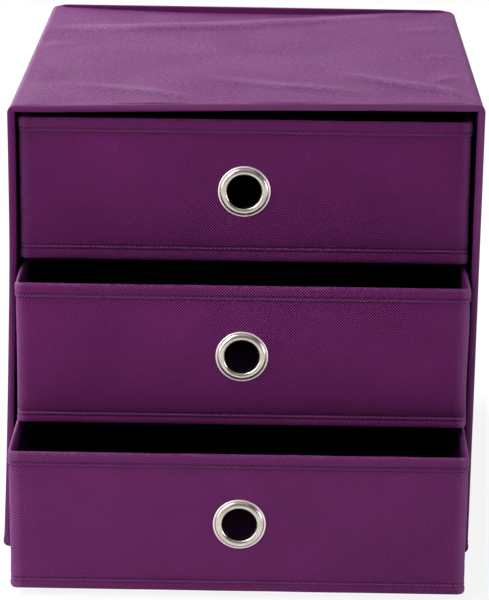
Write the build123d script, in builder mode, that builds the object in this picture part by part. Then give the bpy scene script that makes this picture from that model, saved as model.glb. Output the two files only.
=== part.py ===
from build123d import *
import os
from collections import namedtuple

# Cloth storage box: an open-fronted cube casing with three stacked drawers.
# Millimetres, +Z up, the front faces -Y, the origin is the middle of the base on the floor.

# Casing
box_width = 320.0
box_depth = 320.0
box_height = 320.0
cloth = 0.6  # non-woven sheet, outer and lining alike
casing_board = 2.8  # greyboard in the casing's five panels
board_corner = 3.0  # nipped corners of every greyboard
band_height = 9.0  # sewn band round the foot of the casing
binding_depth = 2.0  # folded strip round the front opening
binding_round = 1.4
fillet_share = 0.45  # most of a wall's thickness that one fillet may take
back_fold = 10.0  # how far the back cloth turns down inside
top_sag = 4.0  # how far the top has sunk at the middle of its rear edge

# Shelves
shelf_board = 1.8
shelf_setback = 15.0
shelf_flap = 12.0  # flaps sewn to the side walls

# Drawers
drawer_board = 1.8
drawer_corner = 4.0
lining_corner = 2.2  # outer corner of the drawer's lining
rim_height = 9.5  # folded binding over the rim
foot_height = 8.5  # sewn band round the foot
closed_recess = 3.0  # how far a shut drawer's front lies behind the casing's front
middle_pull = 39.0  # how far out of its shut place the middle drawer stands
bottom_pull = 81.0  # the same for the bottom drawer

# Eyelets
eyelet_flange = 35.4  # diameter over the flange
eyelet_hole = 23.0  # diameter of the finger hole
eyelet_sheet = 0.5
eyelet_dome = 2.6  # height of the domed ring
eyelet_crown = 27.2  # diameter of the dome's ridge
eyelet_bead = 1.1  # width of the rim bead outside the dome
eyelet_groove = 0.5  # height of the valley between bead and dome
eyelet_roll = 1.6  # how far the barrel is rolled out over the washer
washer_width = 4.3
washer_sheet = 0.5
washer_round = 0.2

# Clearances
slide_clearance = 0.3  # under each drawer
side_clearance = 3.4  # beside each drawer's binding
head_clearance = 1.5  # over the two lower drawers
sag_clearance = 0.5  # over the top drawer, under the sunken top
rear_clearance = 1.0  # behind a shut drawer
board_play = 0.2  # round a drawer's loose base board
eyelet_play = 0.15  # round the eyelet's barrel

# Worked out from the sizes above
casing_wall = cloth + casing_board + cloth
shelf_thickness = cloth + shelf_board + cloth
drawer_wall = cloth + drawer_board + cloth
body_half = box_width / 2 - cloth  # outer face of the side covers
back_face = box_depth / 2 - cloth  # outer face of the back cover
inner_half = body_half - casing_wall  # the lining's face, and where the cloth starts to turn
inner_back = back_face - casing_wall
fold_face = inner_back - cloth  # face of the back cloth's turned-down edge
ceiling = box_height - casing_wall
floor = casing_wall
front_y = -box_depth / 2
panel_front = front_y + binding_depth
panel_length = inner_back - panel_front
panel_middle = (inner_back + panel_front) / 2
base_board_top = cloth + casing_board

drawer_width = 2 * (inner_half - side_clearance)
drawer_depth = fold_face - rear_clearance - (front_y + closed_recess)
drawer_height = (
    ceiling
    - floor
    - 2 * shelf_thickness
    - 3 * slide_clearance
    - 2 * head_clearance
    - (top_sag + sag_clearance)
) / 3
bay_pitch = slide_clearance + drawer_height + head_clearance + shelf_thickness
wall_width = drawer_width - 2 * cloth  # over the drawer's wall cloth
wall_depth = drawer_depth - 2 * cloth
wall_top = drawer_height - cloth
lining_width = wall_width - 2 * (cloth + drawer_board)
lining_depth = wall_depth - 2 * (cloth + drawer_board)
lining_floor = cloth + drawer_board  # underside of the lining's floor

barrel_radius = eyelet_hole / 2
barrel_outer = barrel_radius + eyelet_sheet
panel_bore = barrel_outer + eyelet_play

Drawer = namedtuple("Drawer", "name base front")


def save(piece, label):
    piece.part.label = label
    export_step(piece.part, f"parts/{label}.step")


def facing_front(y):
    """Upright plane at depth y, seen from the front, with its normal towards the viewer."""
    return Plane(origin=(0, y, 0), x_dir=(1, 0, 0), z_dir=(0, -1, 0))


def flat_sheet(label, plane, length, height, thickness, corner=0.0):
    """A flat sheet or board centred on its plane, thickness along the plane's normal."""
    with BuildPart() as sheet:
        with BuildSketch(plane):
            if corner:
                RectangleRounded(length, height, corner)
            else:
                Rectangle(length, height)
        extrude(amount=thickness)
    save(sheet, label)


# Casing base: the cloth that meets the floor, its board and its lining


def casing_plan(half_width, rear, front, corner):
    """Plan of the casing: square at the front, rounded at the two rear corners."""
    with BuildSketch() as plan:
        with Locations((0, (rear + front) / 2)):
            Rectangle(2 * half_width, rear - front)
        fillet(plan.vertices().group_by(Axis.Y)[-1], corner)
    return plan.sketch


def casing_base():
    outer = casing_plan(box_width / 2, box_depth / 2, front_y, casing_wall + cloth)
    inner = casing_plan(body_half, back_face, front_y, casing_wall)

    with BuildPart() as base_cover:
        with BuildSketch():
            add(outer)
        extrude(amount=cloth)
    save(base_cover, "base_cover")

    with BuildPart() as base_band:
        with BuildSketch(Plane.XY.offset(cloth)):
            add(outer)
            add(inner, mode=Mode.SUBTRACT)
        extrude(amount=band_height)
    save(base_band, "base_band")

    with BuildPart() as base_board:
        plan = casing_plan(body_half - cloth, back_face - cloth, panel_front, casing_wall - cloth)
        with BuildSketch(Plane.XY.offset(cloth)):
            add(plan)
        extrude(amount=casing_board)
    save(base_board, "base_board")

    lining_plane = Plane(origin=(0, panel_middle, base_board_top))
    flat_sheet("base_lining", lining_plane, 2 * inner_half, panel_length, cloth)


# Casing sides: the cover turns over the top corner, the board and lining stand flat behind it


def casing_sides():
    with BuildPart() as right_cover:
        with BuildSketch(facing_front(panel_front)):
            with BuildLine():
                outer_foot = (body_half, cloth)
                inner_foot = (body_half - cloth, cloth)
                outer_bend = (body_half, ceiling)
                inner_bend = (body_half - cloth, ceiling)
                outer_end = (inner_half, box_height)
                inner_end = (inner_half, box_height - cloth)
                Polyline(inner_bend, inner_foot, outer_foot, outer_bend)
                RadiusArc(outer_bend, outer_end, -casing_wall)
                Line(outer_end, inner_end)
                RadiusArc(inner_bend, inner_end, -(casing_wall - cloth))
            make_face()
        extrude(amount=-panel_length)
    save(right_cover, "right_cover")

    with BuildPart() as left_cover:
        mirror(right_cover.part, about=Plane.YZ)
    save(left_cover, "left_cover")

    board_height = ceiling - base_board_top
    lining_height = board_height + cloth  # up the edge of the top lining
    for side, name in ((-1, "left"), (1, "right")):
        board_plane = Plane(
            origin=(side * (inner_half + cloth), panel_middle, base_board_top + board_height / 2),
            x_dir=(0, 1, 0),
            z_dir=(side, 0, 0),
        )
        flat_sheet(f"{name}_board", board_plane, panel_length, board_height, casing_board, board_corner)
        lining_plane = Plane(
            origin=(side * inner_half, panel_middle, base_board_top + lining_height / 2),
            x_dir=(0, 1, 0),
            z_dir=(side, 0, 0),
        )
        flat_sheet(f"{name}_lining", lining_plane, panel_length, lining_height, cloth)


# Casing top: three layers, straight behind the front lip and sunk in an arc at the rear


def sagging_layer(label, underside, thickness, half):
    with BuildPart() as layer:
        with BuildSketch(facing_front(panel_front)):
            with Locations((0, underside + thickness / 2)):
                Rectangle(2 * half, thickness)
        with BuildSketch(facing_front(fold_face)):
            with BuildLine():
                upper = underside + thickness
                ThreePointArc((-half, underside), (0, underside - top_sag), (half, underside))
                ThreePointArc((-half, upper), (0, upper - top_sag), (half, upper))
                Line((-half, underside), (-half, upper))
                Line((half, underside), (half, upper))
            make_face()
        loft(ruled=True)
    save(layer, label)


def casing_top():
    sagging_layer("top_lining", ceiling, cloth, inner_half)
    sagging_layer("top_board", ceiling + cloth, casing_board, inner_half)
    sagging_layer("top_cover", box_height - cloth, cloth, inner_half)


# Casing back: the cover turns round the rear corners and over the top edge, then folds down inside


def casing_back():
    with BuildPart() as back_cover:
        with BuildSketch(Plane.XY.offset(cloth)):
            with Locations((0, inner_back)):
                Rectangle(2 * body_half, 2 * casing_wall)
        extrude(amount=box_height - cloth)
        rear_edges = back_cover.edges().filter_by(Axis.Z).group_by(Axis.Y)[-1]
        top_edges = back_cover.faces().sort_by(Axis.Z)[-1].edges().sort_by(Axis.Y)[1:]
        fillet(rear_edges + top_edges, casing_wall)
        front_face = back_cover.faces().sort_by(Axis.Y)[0]
        bottom_face = back_cover.faces().sort_by(Axis.Z)[0]
        offset(amount=-cloth, openings=[front_face, bottom_face])
        split(bisect_by=facing_front(inner_back), keep=Keep.BOTTOM)
        with BuildSketch(facing_front(inner_back)):
            with Locations((0, box_height - back_fold / 2)):
                Rectangle(2 * inner_half, back_fold)
        extrude(amount=cloth)
    save(back_cover, "back_cover")

    height = ceiling - base_board_top
    middle = base_board_top + height / 2
    board_plane = Plane(origin=(0, inner_back + cloth, middle), x_dir=(-1, 0, 0), z_dir=(0, 1, 0))
    flat_sheet("back_board", board_plane, 2 * inner_half, height, casing_board, board_corner)
    lining_plane = Plane(origin=(0, inner_back, middle), x_dir=(-1, 0, 0), z_dir=(0, 1, 0))
    flat_sheet("back_lining", lining_plane, 2 * inner_half, height, cloth)


# Front opening: a rounded strip folded over the front edges of all four panels


def front_opening():
    with BuildPart() as front_binding:
        with BuildSketch(facing_front(panel_front)) as outline:
            with Locations((0, (cloth + box_height) / 2)):
                Rectangle(2 * body_half, box_height - cloth)
            fillet(outline.vertices().group_by(Axis.Y)[-1], casing_wall)
            with Locations((0, (floor + ceiling) / 2)):
                Rectangle(2 * inner_half, ceiling - floor, mode=Mode.SUBTRACT)
        extrude(amount=binding_depth)
        rolled_face = front_binding.faces().sort_by(Axis.Y)[0]
        fillet(rolled_face.edges(), min(binding_round, fillet_share * casing_wall))
    save(front_binding, "front_binding")


# Shelves: a cloth sleeve round a board, hung by flaps sewn to the side walls


def shelf(name, top):
    shelf_front = panel_front + shelf_setback
    length = inner_back - shelf_front
    underside = top - shelf_thickness
    with BuildPart() as shelf_cover:
        with BuildSketch(facing_front(shelf_front)):
            with Locations((0, top - shelf_thickness / 2)):
                Rectangle(2 * inner_half, shelf_thickness)
            with Locations((0, underside - shelf_flap / 2)):
                Rectangle(2 * inner_half, shelf_flap)
                Rectangle(2 * (inner_half - cloth), shelf_flap, mode=Mode.SUBTRACT)
        extrude(amount=-length)
        with BuildSketch(facing_front(shelf_front + cloth)):
            with Locations((0, top - shelf_thickness / 2)):
                Rectangle(2 * (inner_half - cloth), shelf_board)
        extrude(amount=-(length - cloth), mode=Mode.SUBTRACT)
    save(shelf_cover, f"{name}_cover")

    board_length = length - cloth
    board_middle = shelf_front + cloth + board_length / 2
    board_plane = Plane(origin=(0, board_middle, underside + cloth))
    board_width = 2 * (inner_half - cloth)
    flat_sheet(f"{name}_board", board_plane, board_width, board_length, shelf_board, board_corner)


# Drawers: each piece is drawn about the drawer's own base and front


def base_plane(drawer, height):
    """Level plane at a height over the drawer's underside, centred on the drawer."""
    return Plane(origin=(0, drawer.front + drawer_depth / 2, drawer.base + height))


def front_plane(drawer, depth=0.0):
    """Upright plane a given depth behind the front cloth, centred on the eyelet."""
    y = drawer.front + cloth + depth
    return Plane(
        origin=(0, y, drawer.base + drawer_height / 2), x_dir=(1, 0, 0), z_dir=(0, -1, 0)
    )


def drawer_cloth(drawer):
    with BuildPart() as wall_cover:
        with BuildSketch(base_plane(drawer, cloth)):
            RectangleRounded(wall_width, wall_depth, drawer_corner)
            RectangleRounded(
                wall_width - 2 * cloth,
                wall_depth - 2 * cloth,
                drawer_corner - cloth,
                mode=Mode.SUBTRACT,
            )
        extrude(amount=wall_top - cloth)
        with Locations(front_plane(drawer)):
            Hole(panel_bore, depth=drawer_wall)
    save(wall_cover, f"{drawer.name}_wall_cover")

    with BuildPart() as base_cover:
        with BuildSketch(base_plane(drawer, 0)):
            RectangleRounded(drawer_width, drawer_depth, drawer_corner + cloth)
        extrude(amount=foot_height)
        offset(amount=-cloth, openings=base_cover.faces().sort_by(Axis.Z)[-1])
    save(base_cover, f"{drawer.name}_base_cover")

    with BuildPart() as lining:
        with BuildSketch(base_plane(drawer, lining_floor)):
            RectangleRounded(lining_width, lining_depth, lining_corner)
        extrude(amount=wall_top - lining_floor)
        offset(amount=-cloth, openings=lining.faces().sort_by(Axis.Z)[-1])
        with Locations(front_plane(drawer)):
            Hole(panel_bore, depth=2 * drawer_wall)
    save(lining, f"{drawer.name}_lining")


def drawer_rim(drawer):
    with BuildPart() as rim_binding:
        with BuildSketch(base_plane(drawer, drawer_height - rim_height)):
            RectangleRounded(drawer_width, drawer_depth, drawer_corner + cloth)
            RectangleRounded(
                lining_width - 4 * cloth,
                lining_depth - 4 * cloth,
                lining_corner - 2 * cloth,
                mode=Mode.SUBTRACT,
            )
        extrude(amount=rim_height)
        with BuildSketch(base_plane(drawer, drawer_height - rim_height)):
            RectangleRounded(wall_width, wall_depth, drawer_corner)
            RectangleRounded(
                lining_width - 2 * cloth,
                lining_depth - 2 * cloth,
                lining_corner - cloth,
                mode=Mode.SUBTRACT,
            )
        extrude(amount=rim_height - cloth, mode=Mode.SUBTRACT)
    save(rim_binding, f"{drawer.name}_rim_binding")


def drawer_boards(drawer):
    height = wall_top - cloth
    centre = drawer.base + cloth + height / 2
    front_length = wall_width - 2 * drawer_corner
    side_length = wall_depth - 2 * drawer_corner
    drawer_middle = drawer.front + drawer_depth / 2

    with BuildPart() as front_board:
        plane = Plane(
            origin=(0, drawer.front + 2 * cloth, centre), x_dir=(1, 0, 0), z_dir=(0, -1, 0)
        )
        with BuildSketch(plane):
            RectangleRounded(front_length, height, board_corner)
        extrude(amount=-drawer_board)
        with Locations(front_plane(drawer)):
            Hole(panel_bore, depth=2 * drawer_wall)
    save(front_board, f"{drawer.name}_front_board")

    back_y = drawer.front + drawer_depth - 2 * cloth
    back = Plane(origin=(0, back_y, centre), x_dir=(1, 0, 0), z_dir=(0, -1, 0))
    flat_sheet(f"{drawer.name}_back_board", back, front_length, height, drawer_board, board_corner)
    for side, name in ((-1, "left"), (1, "right")):
        plane = Plane(
            origin=(side * (wall_width / 2 - cloth), drawer_middle, centre),
            x_dir=(0, 1, 0),
            z_dir=(-side, 0, 0),
        )
        label = f"{drawer.name}_{name}_board"
        flat_sheet(label, plane, side_length, height, drawer_board, board_corner)
    flat_sheet(
        f"{drawer.name}_base_board",
        base_plane(drawer, cloth),
        lining_width - 2 * board_play,
        lining_depth - 2 * board_play,
        drawer_board,
        board_corner,
    )


# Eyelets: pressed sheet with a beaded rim and a domed ring, its barrel rolled over a washer


def drawer_eyelet(drawer):
    front = front_plane(drawer)
    axis = Axis(front.origin, front.z_dir)
    section = Plane(origin=front.origin, x_dir=(1, 0, 0), z_dir=(0, 0, -1))

    flange = eyelet_flange / 2
    valley = flange - eyelet_bead
    crown = eyelet_crown / 2
    throat = eyelet_dome - (crown - barrel_radius)  # height where the dome turns into the barrel
    seat = valley - eyelet_sheet / 2
    washer_back = -(drawer_wall + washer_sheet)
    roll_back = washer_back - eyelet_sheet
    roll_edge = barrel_outer + eyelet_roll

    with BuildPart() as eyelet:
        with BuildSketch(section):
            with BuildLine():
                TangentArc((flange, 0), (valley, eyelet_groove), tangent=(0, 1))
                TangentArc((crown, eyelet_dome), (valley, eyelet_groove), tangent=(1, 0))
                TangentArc((crown, eyelet_dome), (barrel_radius, throat), tangent=(-1, 0))
                Line((barrel_radius, throat), (barrel_radius, washer_back))
                TangentArc((barrel_radius, washer_back), (barrel_outer, roll_back), tangent=(0, -1))
                Polyline(
                    (barrel_outer, roll_back),
                    (roll_edge, roll_back),
                    (roll_edge, washer_back),
                    (barrel_outer, washer_back),
                    (barrel_outer, throat),
                )
                TangentArc((crown, eyelet_dome - eyelet_sheet), (barrel_outer, throat), tangent=(-1, 0))
                TangentArc((crown, eyelet_dome - eyelet_sheet), (seat, 0), tangent=(1, 0))
                Line((seat, 0), (flange, 0))
            make_face()
        revolve(axis=axis)
    save(eyelet, f"{drawer.name}_eyelet")

    with BuildPart() as eyelet_washer:
        with BuildSketch(front_plane(drawer, drawer_wall)):
            Circle(panel_bore + washer_width)
            Circle(panel_bore, mode=Mode.SUBTRACT)
        extrude(amount=-washer_sheet)
        back_edge = eyelet_washer.faces().sort_by(Axis.Y)[-1].outer_wire().edges()
        fillet(back_edge, washer_round)
    save(eyelet_washer, f"{drawer.name}_eyelet_washer")


os.makedirs("parts", exist_ok=True)

casing_base()
casing_sides()
casing_top()
casing_back()
front_opening()

shut_front = front_y + closed_recess
lowest_base = floor + slide_clearance
drawers = [
    Drawer("bottom_drawer", lowest_base, shut_front - bottom_pull),
    Drawer("middle_drawer", lowest_base + bay_pitch, shut_front - middle_pull),
    Drawer("top_drawer", lowest_base + 2 * bay_pitch, shut_front),
]
shelf("lower_shelf", drawers[1].base - slide_clearance)
shelf("upper_shelf", drawers[2].base - slide_clearance)
for drawer in drawers:
    drawer_cloth(drawer)
    drawer_rim(drawer)
    drawer_boards(drawer)
    drawer_eyelet(drawer)
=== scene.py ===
import math

import bmesh
import bpy
import numpy as np
from mathutils import Matrix, Vector


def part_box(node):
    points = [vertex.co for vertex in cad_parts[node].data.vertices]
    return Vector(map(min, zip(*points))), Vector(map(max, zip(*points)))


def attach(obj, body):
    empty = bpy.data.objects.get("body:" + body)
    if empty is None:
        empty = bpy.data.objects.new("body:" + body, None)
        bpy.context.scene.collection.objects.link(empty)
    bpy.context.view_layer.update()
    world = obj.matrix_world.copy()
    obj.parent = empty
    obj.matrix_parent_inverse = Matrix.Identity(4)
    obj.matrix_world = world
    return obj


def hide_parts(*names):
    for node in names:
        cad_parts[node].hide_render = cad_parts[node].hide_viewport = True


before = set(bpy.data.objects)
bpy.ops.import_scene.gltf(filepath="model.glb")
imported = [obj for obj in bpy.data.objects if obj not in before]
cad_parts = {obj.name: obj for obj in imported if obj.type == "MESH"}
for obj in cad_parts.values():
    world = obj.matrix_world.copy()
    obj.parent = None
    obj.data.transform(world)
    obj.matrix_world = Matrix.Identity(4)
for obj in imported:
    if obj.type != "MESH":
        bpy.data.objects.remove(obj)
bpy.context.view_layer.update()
mm = 0.001
scene = bpy.context.scene
scene.view_settings.view_transform = "Standard"
print("frame loaded with", len(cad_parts), "nodes")


# small helpers for shader nodes: a number or a colour is set, an output is linked
def feed(tree, node, values):
    for name, value in values.items():
        if isinstance(value, (int, float, tuple)):
            node.inputs[name].default_value = value
        else:
            tree.links.new(value, node.inputs[name])


def addNode(tree, kind, values=None, **settings):
    node = tree.nodes.new(kind)
    for name, value in settings.items():
        setattr(node, name, value)
    feed(tree, node, values or {})
    return node


def calc(tree, operation, first, second=None, clamp=False):
    values = {0: first} if second is None else {0: first, 1: second}
    return addNode(tree, "ShaderNodeMath", values, operation=operation, use_clamp=clamp).outputs[0]


def vectorCalc(tree, operation, first, second=None):
    values = {0: first} if second is None else {0: first, 1: second}
    return addNode(tree, "ShaderNodeVectorMath", values, operation=operation).outputs


def remap(tree, value, low, high, toLow, toHigh):
    values = {"Value": value, "From Min": low, "From Max": high, "To Min": toLow, "To Max": toHigh}
    return addNode(tree, "ShaderNodeMapRange", values, interpolation_type="SMOOTHSTEP").outputs["Result"]


def mixColours(tree, factor, first, second):
    return addNode(tree, "ShaderNodeMix", {0: factor, 6: first, 7: second}, data_type="RGBA").outputs[2]


def noise(tree, where, scale, detail=2.0, roughness=0.5, distortion=0.0):
    values = {"Vector": where, "Scale": scale, "Detail": detail, "Roughness": roughness,
              "Distortion": distortion}
    return addNode(tree, "ShaderNodeTexNoise", values).outputs["Fac"]


def newGroup(name, inputs, outputs):
    group = bpy.data.node_groups.new(name, "ShaderNodeTree")
    kinds = {"vector": "NodeSocketVector", "colour": "NodeSocketColor", "value": "NodeSocketFloat"}
    for label, kind in inputs.items():
        group.interface.new_socket(label, in_out="INPUT", socket_type=kinds[kind])
    for label, kind in outputs.items():
        group.interface.new_socket(label, in_out="OUTPUT", socket_type=kinds[kind])
    return group, group.nodes.new("NodeGroupInput").outputs, group.nodes.new("NodeGroupOutput")


pressedLook = {
    "driftScale": 60.0,         # scales of the noises, in turns to a metre
    "crossingScale": 17.0,
    "patchScale": 30.0,
    "fibreScale": 2600.0,
    "clumpScale": 420.0,
    "cloudScale": 9.0,
    "speckScale": 1400.0,
    "drift": (1.1 * mm, 1.1 * mm, 0.0),     # how far the pattern is pulled askew
    "crossing": (0.18, 0.50),   # share of the falling rows, from place to place
    "pressed": (0.72, 1.0),     # depth of the pressing, from place to place
    "fibres": 0.40,             # how much the fibres, the clumps and the clouds show
    "clumps": 0.55,
    "clouds": 0.45,
    "specks": 0.16,
    "roughness": (0.46, 0.66),
}


# non-woven cloth pressed with slanted dots: raised fibres between them,
# patchy where the roller pressed less
def pressedClothGroup():
    tree, given, result = newGroup(
        "pressedCloth",
        {"Flat": "vector", "Deep": "colour", "Raised": "colour", "Lint": "colour", "Pitch": "value",
         "Contrast": "value"},
        {"Color": "colour", "Roughness": "value", "Height": "value"},
    )
    flat = given["Flat"]
    drift = addNode(tree, "ShaderNodeTexNoise",
                    {"Vector": flat, "Scale": pressedLook["driftScale"], "Detail": 1.0}).outputs["Color"]
    pull = vectorCalc(tree, "MULTIPLY", drift, pressedLook["drift"])[0]
    stretched = vectorCalc(tree, "ADD", flat, pull)[0]
    split = addNode(tree, "ShaderNodeSeparateXYZ", {0: stretched}).outputs
    turns = calc(tree, "DIVIDE", math.tau, given["Pitch"])
    rising = calc(tree, "SUBTRACT", split["X"], split["Y"])
    falling = calc(tree, "ADD", split["X"], split["Y"])
    risingWave = calc(tree, "SINE", calc(tree, "MULTIPLY", rising, turns))
    fallingWave = calc(tree, "SINE", calc(tree, "MULTIPLY", falling, turns))
    rows = noise(tree, flat, pressedLook["crossingScale"], 1.0)
    crossing = remap(tree, rows, 0.36, 0.56, *pressedLook["crossing"])
    along = calc(tree, "MULTIPLY", risingWave, calc(tree, "SUBTRACT", 1.0, crossing))
    waves = calc(tree, "ADD", along, calc(tree, "MULTIPLY", fallingWave, crossing))
    ridge = remap(tree, waves, -0.55, 0.55, 0.0, 1.0)
    patches = remap(tree, noise(tree, flat, pressedLook["patchScale"]), 0.36, 0.62, *pressedLook["pressed"])
    fibres = noise(tree, flat, pressedLook["fibreScale"], 3.0, 0.6, 0.8)
    clumps = noise(tree, flat, pressedLook["clumpScale"], 3.0, 0.65)
    clouds = noise(tree, flat, pressedLook["cloudScale"], 3.0)
    strength = calc(tree, "MULTIPLY", patches, given["Contrast"])
    centred = calc(tree, "SUBTRACT", ridge, 0.5)
    pressed = calc(tree, "ADD", calc(tree, "MULTIPLY", centred, strength), 0.5)
    fibrous = calc(tree, "MULTIPLY", calc(tree, "SUBTRACT", fibres, 0.5), pressedLook["fibres"])
    fuzzy = calc(tree, "ADD", pressed, fibrous)
    clumpy = calc(tree, "MULTIPLY", clumps, pressedLook["clumps"])
    thick = calc(tree, "ADD", clumpy, calc(tree, "MULTIPLY", clouds, pressedLook["clouds"]))
    shade = calc(tree, "ADD", fuzzy, calc(tree, "SUBTRACT", thick, 0.5), True)
    body = mixColours(tree, shade, given["Deep"], given["Raised"])
    specks = noise(tree, flat, pressedLook["speckScale"])
    specks = remap(tree, specks, 0.68, 0.8, 0.0, pressedLook["specks"])
    feed(tree, result, {
        "Color": mixColours(tree, specks, body, given["Lint"]),
        "Roughness": remap(tree, fuzzy, 0.0, 1.0, *pressedLook["roughness"]),
        "Height": fuzzy,
    })
    return tree


dustAndSheenLook = {"grainScale": 330.0, "driftScale": 24.0, "grains": 1.7, "drifts": (0.75, 1.2)}


# a little dust and lint that settles on what faces up; on the cloth it is also painted sheen that makes
# up-facing cloth paler
def makeDustAndSheenGroup():
    tree, given, result = newGroup("upDustAndSheen", {"Where": "vector", "Amount": "value"}, {"Mask": "value"})
    facing = addNode(tree, "ShaderNodeNewGeometry").outputs["Normal"]
    parts = addNode(tree, "ShaderNodeSeparateXYZ", {0: facing}).outputs
    upward = remap(tree, parts["Z"], 0.1, 1.0, 0.0, 1.0)
    grains = noise(tree, given["Where"], dustAndSheenLook["grainScale"], 4.0, 0.7)
    grains = remap(tree, grains, 0.43, 0.61, 0.0, dustAndSheenLook["grains"])
    drifts = noise(tree, given["Where"], dustAndSheenLook["driftScale"], 3.0)
    drifts = remap(tree, drifts, 0.3, 0.7, *dustAndSheenLook["drifts"])
    cover = calc(tree, "MULTIPLY", grains, drifts)
    dustAndSheenMask = calc(tree, "MULTIPLY", calc(tree, "MULTIPLY", upward, cover), given["Amount"], True)
    feed(tree, result, {"Mask": dustAndSheenMask})
    return tree


polishLook = {
    "scuffScale": 1800.0,
    "smear": (1.0, 1.0, 6.0),   # scuffs are longer across than up
    "scuffs": 0.45,
    "cloudScale": 160.0,
    "clouds": 0.55,
    "roughness": (0.16, 0.34),
}


# plated sheet metal: cloudy polish, fine scuffs, a duller tone where fingers rub
def rubbedPlateGroup():
    tree, given, result = newGroup(
        "rubbedPlate",
        {"Where": "vector", "Bright": "colour", "Dull": "colour"},
        {"Color": "colour", "Roughness": "value", "Height": "value"},
    )
    smear = addNode(tree, "ShaderNodeMapping", {"Vector": given["Where"], "Scale": polishLook["smear"]})
    scuffs = noise(tree, smear.outputs[0], polishLook["scuffScale"], 4.0, 0.7)
    clouds = noise(tree, given["Where"], polishLook["cloudScale"], 3.0)
    cloudy = calc(tree, "MULTIPLY", clouds, polishLook["clouds"])
    both = calc(tree, "ADD", calc(tree, "MULTIPLY", scuffs, polishLook["scuffs"]), cloudy)
    dulled = remap(tree, both, 0.3, 0.7, 0.0, 1.0)
    feed(tree, result, {
        "Color": mixColours(tree, dulled, given["Bright"], given["Dull"]),
        "Roughness": remap(tree, both, 0.3, 0.72, *polishLook["roughness"]),
        "Height": scuffs,
    })
    return tree


plyLook = {"scale": 520.0, "uneven": 1.2, "roughness": (0.42, 0.6)}


# sewing thread, plies twisted together
def twistedPliesGroup():
    tree, given, result = newGroup(
        "twistedPlies",
        {"Flat": "vector", "Dark": "colour", "Light": "colour"},
        {"Color": "colour", "Roughness": "value", "Height": "value"},
    )
    waves = {"Vector": given["Flat"], "Scale": plyLook["scale"], "Distortion": plyLook["uneven"],
             "Detail": 1.0}
    twist = addNode(tree, "ShaderNodeTexWave", waves, wave_type="BANDS", bands_direction="DIAGONAL")
    plies = twist.outputs["Fac"]
    feed(tree, result, {
        "Color": mixColours(tree, plies, given["Dark"], given["Light"]),
        "Roughness": remap(tree, plies, 0.0, 1.0, *plyLook["roughness"]),
        "Height": plies,
    })
    return tree


clothGroup = pressedClothGroup()
dustAndSheenGroup = makeDustAndSheenGroup()
plateGroup = rubbedPlateGroup()
threadGroup = twistedPliesGroup()


def newMaterial(name):
    material = bpy.data.materials.new(name)
    material.use_nodes = True
    tree = material.node_tree
    return material, tree, tree.nodes["Principled BSDF"]


def bumped(tree, height, depth, strength):
    values = {"Height": height, "Distance": depth, "Strength": strength}
    return addNode(tree, "ShaderNodeBump", values).outputs["Normal"]


clothLook = {
    "pitch": 2.0 * mm,          # between pressed dots, along a row
    "emboss": 0.36 * mm,
    "embossStrength": 1.0,
    "sheen": 0.06,
    "sheenRoughness": 0.35,
    "sheenTint": (0.62, 0.32, 1.00, 1.0),
    "gloss": 0.082,
    "glossTint": (1.00, 0.80, 1.00, 1.0),
    # dust and lint on up-facing cloth, which is also painted sheen
    "lintAndSheenColour": (0.55, 0.40, 0.68, 1.0),
    # colour of the painted highlight
    "highlightColour": (0.38, 0.16, 0.39, 1.0),
}
# the last entry of each is how much dust and lint, with painted sheen, lies where the cloth faces up
clothTones = {
    "coverCloth": {
        "deep": (0.020, 0.0002, 0.016, 1.0),
        "raised": (0.198, 0.0220, 0.168, 1.0),
        "lint": (0.36, 0.14, 0.35, 1.0),
        "contrast": 1.40,
        "dustAndSheen": 0.048,
    },
    "bindingCloth": {
        "deep": (0.022, 0.0003, 0.018, 1.0),
        "raised": (0.198, 0.0230, 0.168, 1.0),
        "lint": (0.36, 0.14, 0.35, 1.0),
        "contrast": 1.8,
        "dustAndSheen": 0.04,
    },
    # the lining's tones are near black: painted shade for the dark inside of the casing and the drawers
    "liningCloth": {
        "deep": (0.010, 0.0010, 0.009, 1.0),
        "raised": (0.032, 0.0040, 0.028, 1.0),
        "lint": (0.10, 0.05, 0.10, 1.0),
        "contrast": 0.7,
        "dustAndSheen": 0.01,
    },
}


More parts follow.
